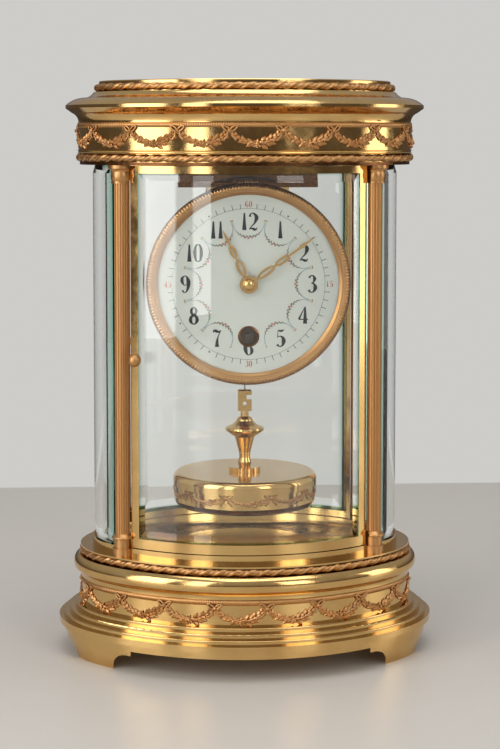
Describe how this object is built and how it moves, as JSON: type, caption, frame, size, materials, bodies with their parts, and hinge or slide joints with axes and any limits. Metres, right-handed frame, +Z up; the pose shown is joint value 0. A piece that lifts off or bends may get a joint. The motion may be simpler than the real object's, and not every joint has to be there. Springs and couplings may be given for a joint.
{
  "type": "torsion pendulum clock",
  "caption": "Oval mantel clock with four bent glasses on fluted columns, hinged front and rear doors, wheel train, hands and a turning disc pendulum on a suspension spring.",
  "frame": {"origin": "on the table under the middle of the oval case", "axes": "+Z up, the dial faces -Y, +X to the right as seen from the front"},
  "size_m": [0.1902, 0.1452, 0.2876],
  "materials": {
    "brass_polished": "polished and lacquered",
    "brass_cast": "satin cast brass",
    "copper_gilt": "matt copper-toned gilding",
    "bronzed_floor": "bronzed, satin",
    "silvered_disc": "silvered, polished",
    "bevelled_glass": "clear, bevelled, green at the edges",
    "enamel_dial": "off-white enamel on a metal plate, printed numerals and small flowers",
    "gilt_hands": "gilt, pierced and polished",
    "steel": "plain turned steel",
    "spring_steel": "thin tempered strip"
  },
  "bodies": {
    "case": {"foot_skirt": "brass_cast", "base_steps": "brass_polished", "base_frieze": "brass_polished", "base_rope": "copper_gilt", "cornice_rope": "copper_gilt", "crown_rope": "copper_gilt", "cornice_moulding": "brass_polished", "base_torus": "brass_polished", "base_ledge": "brass_polished", "threshold_ring": "brass_polished", "floor_plate": "bronzed_floor", "floor_disc": "silvered_disc", "side_glass_right": "bevelled_glass", "side_glass_left": "bevelled_glass", "column_bases": "copper_gilt", "column_capitals": "copper_gilt", "column_shafts": "copper_gilt", "tie_rods": "steel", "cornice_soffit": "bronzed_floor", "cornice_frieze": "brass_polished", "crown_step": "brass_polished", "top_plate": "brass_polished", "garland_castings": "copper_gilt", "door_hinge_pins": "steel", "front_plate": "brass_polished", "back_plate": "brass_polished", "pillars": "brass_polished", "seat_bracket": "bronzed_floor", "suspension_bracket": "brass_polished", "suspension_spring": "spring_steel", "dial_plate": "enamel_dial", "bezel": "copper_gilt", "winding_grommet": "brass_polished"},
    "front_door": {"front_door_frame": "brass_polished", "front_door_glass": "bevelled_glass"},
    "front_knob": {"front_door_knob": "brass_cast"},
    "rear_door": {"rear_door_frame": "brass_polished", "rear_door_glass": "bevelled_glass"},
    "rear_knob": {"rear_door_knob": "brass_cast"},
    "centre_arbor": {"centre_wheel": "brass_polished", "cannon_pinion": "steel", "minute_hand": "gilt_hands", "hand_nut": "brass_polished"},
    "hour_pipe": {"hour_wheel": "brass_polished", "hour_hand": "gilt_hands"},
    "minute_wheel": {"minute_wheel": "brass_polished"},
    "first_wheel": {"first_wheel": "brass_polished"},
    "second_wheel": {"second_wheel": "brass_polished"},
    "third_wheel": {"third_wheel": "brass_polished"},
    "escape_wheel": {"escape_wheel": "brass_polished"},
    "barrel": {"barrel": "brass_polished", "mainspring": "spring_steel"},
    "winding_arbor": {"winding_arbor": "steel"},
    "click": {"click": "steel"},
    "pendulum": {"hook_block": "brass_polished", "finial": "brass_polished", "disc_shell": "brass_polished"},
    "rate_dial": {"rate_dial": "brass_polished"},
    "fork": {"suspension_fork": "brass_polished"},
    "anchor": {"anchor": "steel"}
  },
  "joints": [
    {"name": "front_door_hinge", "type": "hinge", "parent": "case", "child": "front_door", "pos_m": [0.056, -0.03274, 0.15175], "axis": [0, 0, 1], "range_deg": [0, 70]},
    {"name": "rear_door_hinge", "type": "hinge", "parent": "case", "child": "rear_door", "pos_m": [0.056, 0.03274, 0.15175], "axis": [0, 0, -1], "range_deg": [0, 70]},
    {"name": "front_knob_turn", "type": "hinge", "parent": "front_door", "child": "front_knob", "pos_m": [-0.0561, -0.03727, 0.1515], "axis": [0, 1, 0], "range_deg": [0, 90]},
    {"name": "rear_knob_turn", "type": "hinge", "parent": "rear_door", "child": "rear_knob", "pos_m": [-0.0561, 0.03727, 0.1515], "axis": [0, 1, 0], "range_deg": [0, 90]},
    {"name": "minute_turn", "type": "hinge", "parent": "case", "child": "centre_arbor", "pos_m": [0, 0, 0.1876], "axis": [0, 1, 0], "continuous": true},
    {"name": "hour_turn", "type": "hinge", "parent": "case", "child": "hour_pipe", "pos_m": [0, 0, 0.1876], "axis": [0, 1, 0], "continuous": true},
    {"name": "minute_wheel_turn", "type": "hinge", "parent": "case", "child": "minute_wheel", "pos_m": [-0.00719, 0, 0.18218], "axis": [0, 1, 0], "continuous": true},
    {"name": "first_wheel_turn", "type": "hinge", "parent": "case", "child": "first_wheel", "pos_m": [-0.01861, 0, 0.17742], "axis": [0, 1, 0], "continuous": true},
    {"name": "second_wheel_turn", "type": "hinge", "parent": "case", "child": "second_wheel", "pos_m": [-0.01368, 0, 0.19171], "axis": [0, 1, 0], "continuous": true},
    {"name": "third_wheel_turn", "type": "hinge", "parent": "case", "child": "third_wheel", "pos_m": [0.00734, 0, 0.19848], "axis": [0, 1, 0], "continuous": true},
    {"name": "escape_wheel_turn", "type": "hinge", "parent": "case", "child": "escape_wheel", "pos_m": [0, 0, 0.207], "axis": [0, 1, 0], "continuous": true},
    {"name": "barrel_turn", "type": "hinge", "parent": "case", "child": "barrel", "pos_m": [0, 0, 0.1618], "axis": [0, 1, 0], "continuous": true},
    {"name": "winding_turn", "type": "hinge", "parent": "case", "child": "winding_arbor", "pos_m": [0, 0, 0.1618], "axis": [0, 1, 0], "continuous": true},
    {"name": "click_lift", "type": "hinge", "parent": "case", "child": "click", "pos_m": [-0.01464, 0, 0.16077], "axis": [0, -1, 0], "range_deg": [0, 10]},
    {"name": "pendulum_turn", "type": "hinge", "parent": "case", "child": "pendulum", "pos_m": [0, 0.004, 0.1307], "axis": [0, 0, 1], "range_deg": [-135, 135]},
    {"name": "rate_dial_turn", "type": "hinge", "parent": "pendulum", "child": "rate_dial", "pos_m": [0, 0.004, 0.091], "axis": [0, 0, 1], "range_deg": [-180, 180]},
    {"name": "fork_turn", "type": "hinge", "parent": "case", "child": "fork", "pos_m": [0, 0.004, 0.2236], "axis": [0, 0, 1], "range_deg": [-9.5, 9.5]},
    {"name": "anchor_rock", "type": "hinge", "parent": "case", "child": "anchor", "pos_m": [0, 0, 0.2175], "axis": [0, 1, 0], "range_deg": [-5.1, 5.1]}
  ],
  "couplings": [
    {"joint": "hour_turn", "follows": "minute_turn", "ratio": 0.083333},
    {"joint": "minute_wheel_turn", "follows": "minute_turn", "ratio": -0.33333},
    {"joint": "third_wheel_turn", "follows": "minute_turn", "ratio": -4},
    {"joint": "escape_wheel_turn", "follows": "minute_turn", "ratio": 16},
    {"joint": "second_wheel_turn", "follows": "minute_turn", "ratio": -0.13333},
    {"joint": "first_wheel_turn", "follows": "minute_turn", "ratio": 0.016667},
    {"joint": "barrel_turn", "follows": "minute_turn", "ratio": -0.0020833},
    {"joint": "fork_turn", "follows": "pendulum_turn", "ratio": 0.07},
    {"joint": "anchor_rock", "follows": "pendulum_turn", "ratio": 0.037}
  ]
}
